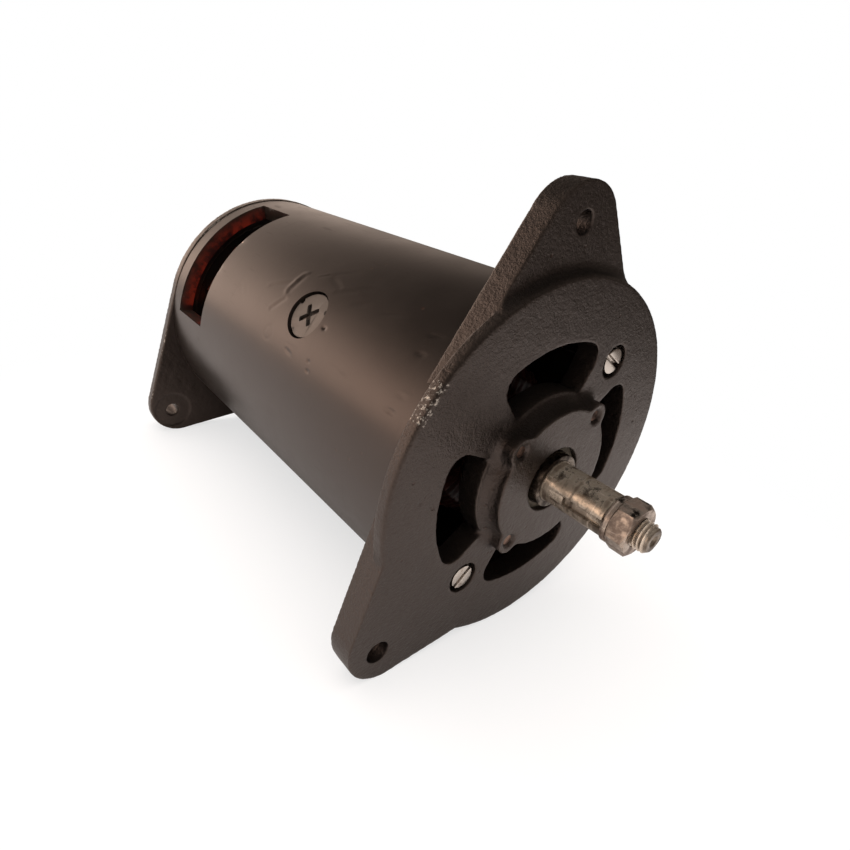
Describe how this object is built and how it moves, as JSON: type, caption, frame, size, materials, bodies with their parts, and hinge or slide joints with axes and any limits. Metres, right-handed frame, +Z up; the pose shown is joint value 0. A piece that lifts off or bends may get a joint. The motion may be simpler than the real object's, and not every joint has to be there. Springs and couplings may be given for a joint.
{
  "type": "dynamo",
  "caption": "Belt-driven generator with a tubular steel yoke, cast end brackets with mounting ears, a wound armature on a keyed threaded shaft and sprung carbon brushes.",
  "frame": {"origin": "on the shaft axis at the shoulder that a pulley seats against", "axes": "shaft points along -Y, +Z up as the machine lies on its front rim and lower ears, +X to the right seen from the pulley end"},
  "size_m": [0.1353, 0.2495, 0.1553],
  "materials": {
    "yoke_paint": "worn satin black paint on steel",
    "bracket_paint": "worn black paint on rough casting",
    "screw_steel": "worn bright steel",
    "dark_screw": "blackened steel with worn edges",
    "rivet_steel": "oxidised steel",
    "shaft_steel": "turned steel, browned by age",
    "nut_steel": "worn steel",
    "bearing_steel": "ground steel",
    "cage_brass": "pressed brass",
    "felt": "oiled felt",
    "iron": "oiled iron",
    "winding": "copper under red insulating varnish",
    "copper": "worn copper",
    "bush_bronze": "porous bronze",
    "insulator": "brown insulating board",
    "carbon": "carbon",
    "spring_steel": "spring steel",
    "sleeve": "red varnished sleeving",
    "terminal_moulding": "black moulded insulator"
  },
  "bodies": {
    "frame": {"yoke": "yoke_paint", "drive_end_bracket": "bracket_paint", "commutator_end_bracket": "bracket_paint", "through_bolts": "screw_steel", "pole_screws": "dark_screw", "retainer_rivets": "rivet_steel", "bearing_outer_race": "bearing_steel", "bearing_retainer": "rivet_steel", "felt_ring": "felt", "pole_shoe_upper": "iron", "pole_shoe_lower": "iron", "field_coil_upper": "winding", "field_coil_lower": "winding", "rear_bush": "bush_bronze", "oil_felt": "felt", "brush_box_upper": "cage_brass", "brush_box_lower": "cage_brass", "box_insulators": "insulator", "box_screws": "screw_steel", "spring_posts": "cage_brass", "brush_springs": "spring_steel", "field_lead": "sleeve", "terminal_block": "terminal_moulding", "terminal_studs": "cage_brass", "terminal_nuts": "cage_brass"},
    "armature": {"armature_shaft": "shaft_steel", "armature_core": "iron", "armature_winding": "winding", "commutator_bars": "copper", "commutator_hub": "insulator", "bearing_inner_race": "bearing_steel", "distance_collar": "shaft_steel", "spring_washer": "nut_steel", "pulley_nut": "nut_steel"},
    "ball_set": {"bearing_balls": "bearing_steel", "bearing_cage": "cage_brass"},
    "upper_brush": {"brush_upper": "carbon"},
    "lower_brush": {"brush_lower": "carbon"},
    "upper_finger": {"spring_finger_upper": "spring_steel"},
    "lower_finger": {"spring_finger_lower": "spring_steel"}
  },
  "joints": [
    {"name": "armature_spin", "type": "hinge", "parent": "frame", "child": "armature", "pos_m": [0, 0, 0], "axis": [0, -1, 0], "continuous": true},
    {"name": "ball_spin", "type": "hinge", "parent": "frame", "child": "ball_set", "pos_m": [0, 0.0095, 0], "axis": [0, -1, 0], "continuous": true},
    {"name": "upper_brush_slide", "type": "slide", "parent": "frame", "child": "upper_brush", "axis": [-0.8211, 0, 0.5707], "range_m": [0, 0.005], "stiffness_N_per_m": 150, "springref_m": -0.02},
    {"name": "upper_finger_swing", "type": "hinge", "parent": "frame", "child": "upper_finger", "pos_m": [-0.01579, 0.17375, 0.02985], "axis": [0, 1, 0], "range_deg": [0, 23]},
    {"name": "lower_brush_slide", "type": "slide", "parent": "frame", "child": "lower_brush", "axis": [0.8211, 0, -0.5707], "range_m": [0, 0.005], "stiffness_N_per_m": 150, "springref_m": -0.02},
    {"name": "lower_finger_swing", "type": "hinge", "parent": "frame", "child": "lower_finger", "pos_m": [0.01579, 0.17375, -0.02985], "axis": [0, 1, 0], "range_deg": [0, 23]}
  ],
  "couplings": [
    {"joint": "ball_spin", "follows": "armature_spin", "ratio": 0.38158},
    {"joint": "upper_finger_swing", "follows": "upper_brush_slide", "rad_per_m": 80},
    {"joint": "lower_finger_swing", "follows": "lower_brush_slide", "rad_per_m": 80}
  ]
}
